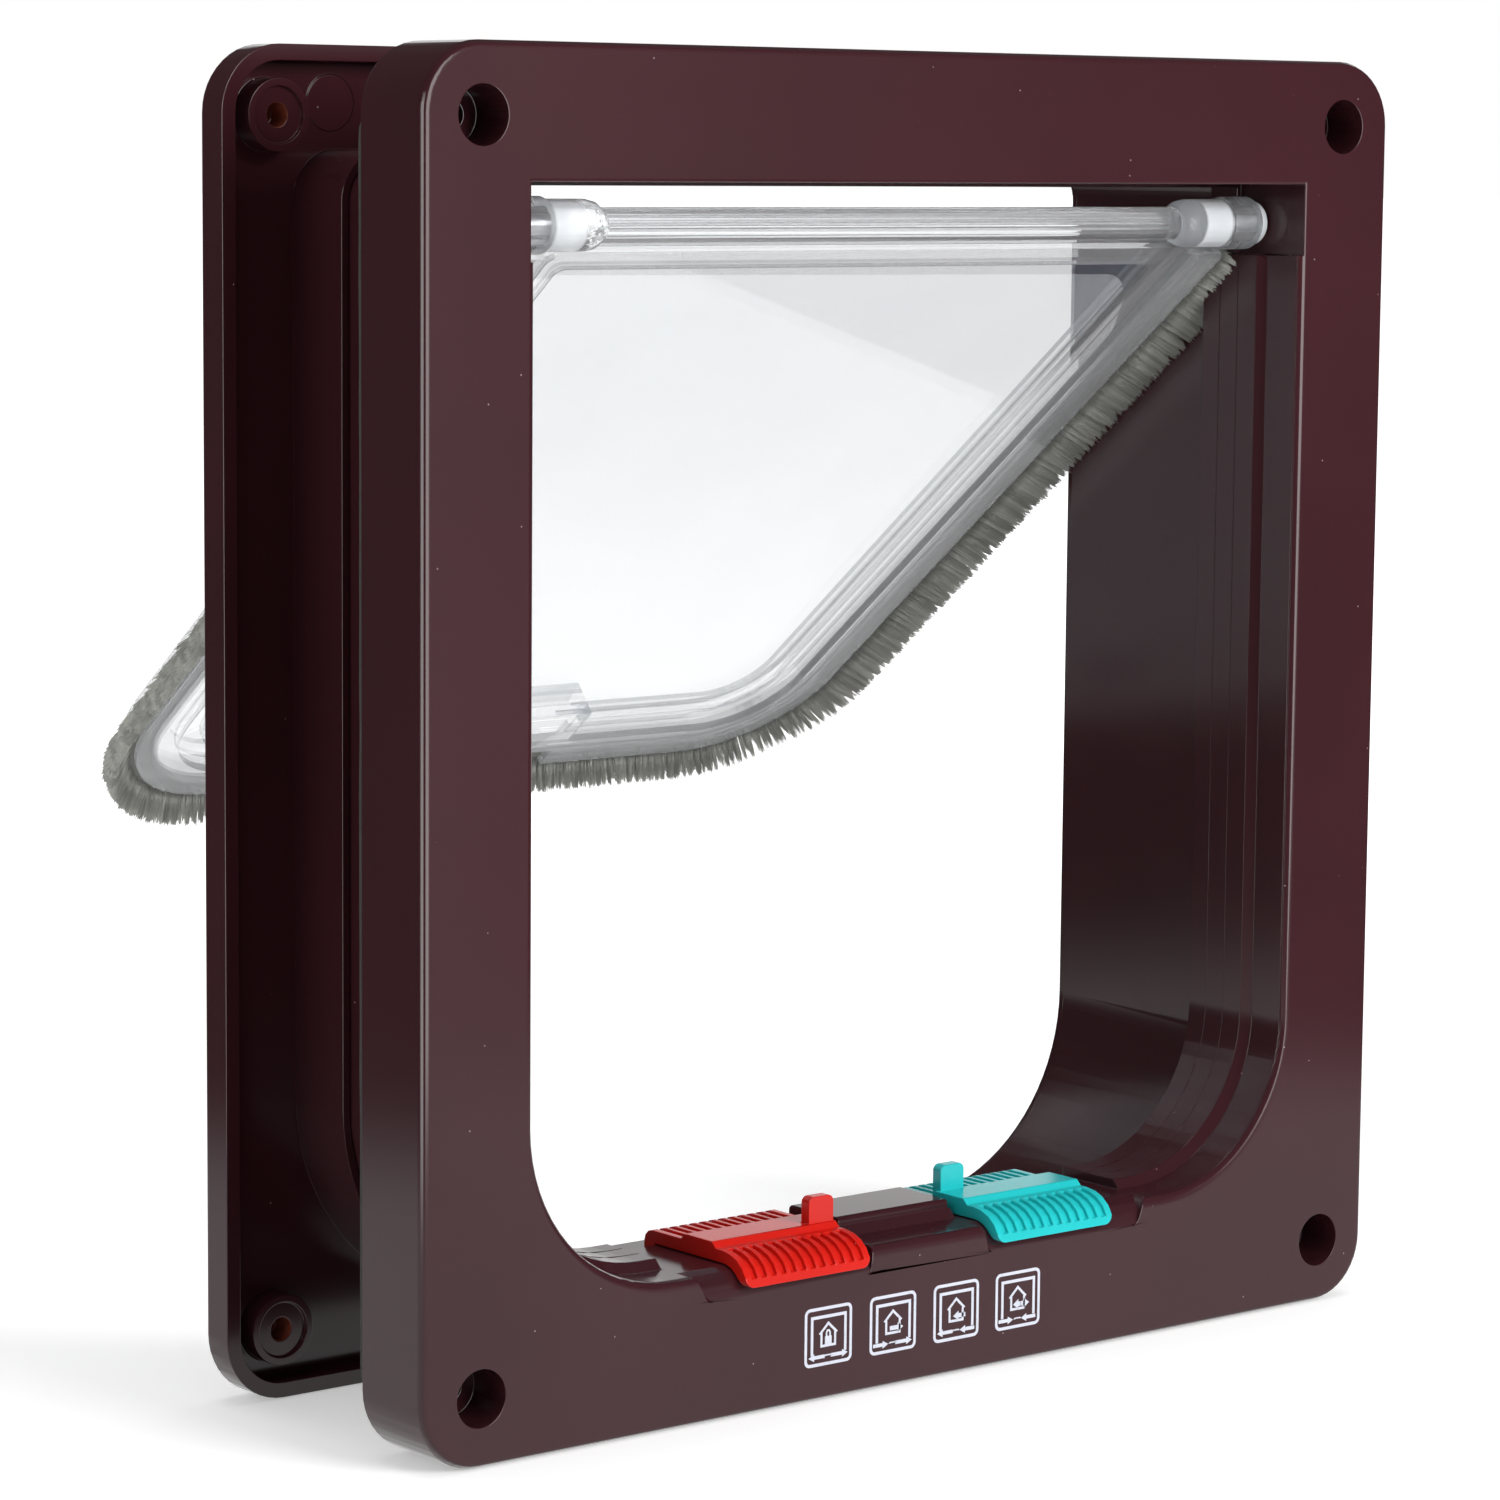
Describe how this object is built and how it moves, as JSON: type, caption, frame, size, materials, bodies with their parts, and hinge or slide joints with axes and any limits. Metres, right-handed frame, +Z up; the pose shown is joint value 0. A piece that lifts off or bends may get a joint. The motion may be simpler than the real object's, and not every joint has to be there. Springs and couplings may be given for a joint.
{
  "type": "cat flap",
  "caption": "Locking cat flap for a door: plastic inside and outside frames with a telescoping tunnel, a clear swinging flap with a brush edge, and coloured lock sliders on the sill.",
  "frame": {"origin": "centre of the pattern of fixing screws, in the plane where the inside frame's rim meets the door", "axes": "+Y points through the door from the room to the outside, +Z up, +X to the right as seen from the room"},
  "size_m": [0.235, 0.1637, 0.25],
  "materials": {
    "brown_plastic": "moulded, glossy dark brown",
    "clear_plastic": "clear, lightly scratched",
    "pin_steel": "bright drawn pin",
    "brush_pile": "dense grey bristle pile",
    "magnet": "plain bar magnet",
    "red_plastic": "moulded, glossy red",
    "teal_plastic": "moulded, glossy teal",
    "foam": "dark grey closed-cell foam"
  },
  "bodies": {
    "inside_frame": {"front_frame": "brown_plastic", "sill_magnet": "magnet", "foam_strip_top": "foam", "foam_strip_bottom": "foam", "foam_strip_left": "foam", "foam_strip_right": "foam"},
    "outside_frame": {"rear_frame": "brown_plastic"},
    "flap": {"flap_panel": "clear_plastic", "hinge_pin_left": "pin_steel", "hinge_pin_right": "pin_steel", "brush_strip_left": "brush_pile", "brush_strip_right": "brush_pile", "flap_magnet": "magnet"},
    "red_slider": {"red_lock_slider": "red_plastic"},
    "teal_slider": {"teal_lock_slider": "teal_plastic"}
  },
  "joints": [
    {"name": "flap_swing", "type": "hinge", "parent": "inside_frame", "child": "flap", "pos_m": [0, -0.0056, 0.0932], "axis": [1, 0, 0], "range_deg": [-141.5, 38.5]},
    {"name": "red_lock", "type": "slide", "parent": "inside_frame", "child": "red_slider", "axis": [-1, 0, 0], "range_m": [0, 0.0075]},
    {"name": "teal_lock", "type": "slide", "parent": "inside_frame", "child": "teal_slider", "axis": [1, 0, 0], "range_m": [0, 0.0075]},
    {"name": "door_thickness", "type": "slide", "parent": "inside_frame", "child": "outside_frame", "axis": [0, 1, 0], "range_m": [-0.025, 0.008]}
  ]
}
